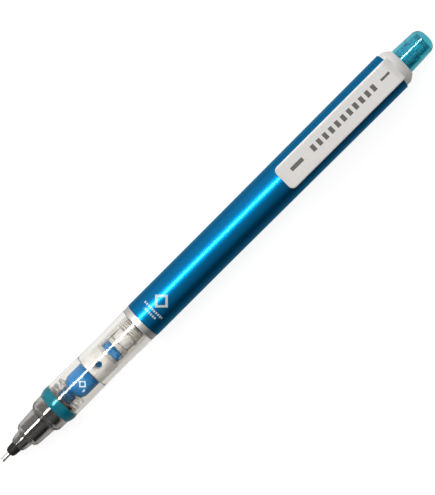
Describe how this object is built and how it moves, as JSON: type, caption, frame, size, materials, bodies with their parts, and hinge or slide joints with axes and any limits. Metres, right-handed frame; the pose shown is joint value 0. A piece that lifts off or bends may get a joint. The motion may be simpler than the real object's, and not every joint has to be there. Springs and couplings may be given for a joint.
{
  "type": "mechanical pencil",
  "caption": "Mechanical pencil with a see-through grip that shows its lead-turning engine, a push cap over an eraser, and a pocket clip.",
  "frame": {"origin": "middle of the pencil's length and width, at the lowest line of its barrel", "axes": "+X from the tip to the push cap, +Y across, +Z towards the clip"},
  "size_m": [0.144, 0.0104, 0.0132],
  "materials": {
    "steel": "drawn, bright",
    "black_plastic": "moulded, glossy black",
    "rubber": "plain",
    "smoke_clear": "clear with a smoke tint",
    "teal_clear": "translucent teal",
    "clear": "water clear",
    "clear_inner": "water clear",
    "white_inner": "natural milky white",
    "rotor_blue": "moulded blue",
    "steel_wire": "spring wire",
    "brass": "turned",
    "tank_plastic": "natural polypropylene",
    "graphite": "polymer-bonded graphite",
    "barrel_blue": "metallic blue lacquer under clear coat",
    "clip_plastic": "warm off-white, satin",
    "teal_cap": "translucent teal",
    "eraser_rubber": "white vinyl"
  },
  "bodies": {
    "barrel": {"grip_barrel": "clear", "rear_barrel": "barrel_blue", "coupling_ring": "teal_clear", "front_bearing": "clear_inner", "lower_cam": "white_inner", "upper_cam": "clear_inner", "engine_sleeve": "clear_inner", "cushion_spring": "steel_wire", "engine_stop": "clear_inner", "collar": "clip_plastic"},
    "canceller": {"torque_canceller": "white_inner"},
    "rotor": {"rotor": "rotor_blue", "slider": "black_plastic", "lead_pipe": "steel", "lead_retainer": "rubber", "chuck_sleeve": "black_plastic", "chuck_spring": "steel_wire"},
    "chuck": {"chuck": "brass", "feed_pipe": "black_plastic"},
    "chuck_ring": {"chuck_ring": "brass"},
    "lead": {"writing_lead": "graphite"},
    "tank": {"lead_tank": "tank_plastic", "tank_connector": "black_plastic", "spare_leads": "graphite"},
    "cap": {"push_cap": "teal_cap"},
    "eraser": {"eraser": "eraser_rubber"},
    "clip": {"pocket_clip": "clip_plastic"},
    "nose_cone": {"nose_cone": "smoke_clear"}
  },
  "joints": [
    {"name": "writing_press", "type": "slide", "parent": "barrel", "child": "canceller", "axis": [1, 0, 0], "range_m": [0, 0.00045], "stiffness_N_per_m": 400, "springref_m": -0.0005, "deforming": ["cushion_spring"]},
    {"name": "rotor_turn", "type": "hinge", "parent": "canceller", "child": "rotor", "pos_m": [0, 0, 0.0052], "axis": [1, 0, 0], "range_deg": [0, 4.5]},
    {"name": "knock", "type": "slide", "parent": "barrel", "child": "tank", "axis": [-1, 0, 0], "range_m": [0, 0.003], "stiffness_N_per_m": 1500, "springref_m": -0.001},
    {"name": "chuck_feed", "type": "slide", "parent": "rotor", "child": "chuck", "axis": [-1, 0, 0], "range_m": [0, 0.003], "deforming": ["chuck_spring"]},
    {"name": "chuck_ring_feed", "type": "slide", "parent": "rotor", "child": "chuck_ring", "axis": [-1, 0, 0], "range_m": [0, 0.0006]},
    {"name": "lead_feed", "type": "slide", "parent": "rotor", "child": "lead", "axis": [-1, 0, 0], "range_m": [0, 0.0006]},
    {"name": "cap_off", "type": "slide", "parent": "tank", "child": "cap", "axis": [1, 0, 0], "range_m": [0, 0.024]},
    {"name": "eraser_out", "type": "slide", "parent": "tank", "child": "eraser", "axis": [1, 0, 0], "range_m": [0, 0.0072]},
    {"name": "clip_flex", "type": "hinge", "parent": "barrel", "child": "clip", "pos_m": [0.0586, 0, 0.01243], "axis": [0, 1, 0], "range_deg": [0, 3.5], "stiffness_Nm_per_rad": 2},
    {"name": "nose_cone_off", "type": "slide", "parent": "barrel", "child": "nose_cone", "axis": [-1, 0, 0], "range_m": [0, 0.024]}
  ],
  "couplings": [
    {"joint": "rotor_turn", "follows": "writing_press", "rad_per_m": 174.53},
    {"joint": "chuck_feed", "follows": "knock", "ratio": 1},
    {"joint": "chuck_ring_feed", "follows": "knock", "ratio": 0.2},
    {"joint": "lead_feed", "follows": "knock", "ratio": 0.2},
    {"joint": "eraser_out", "follows": "cap_off", "ratio": 0.3}
  ]
}
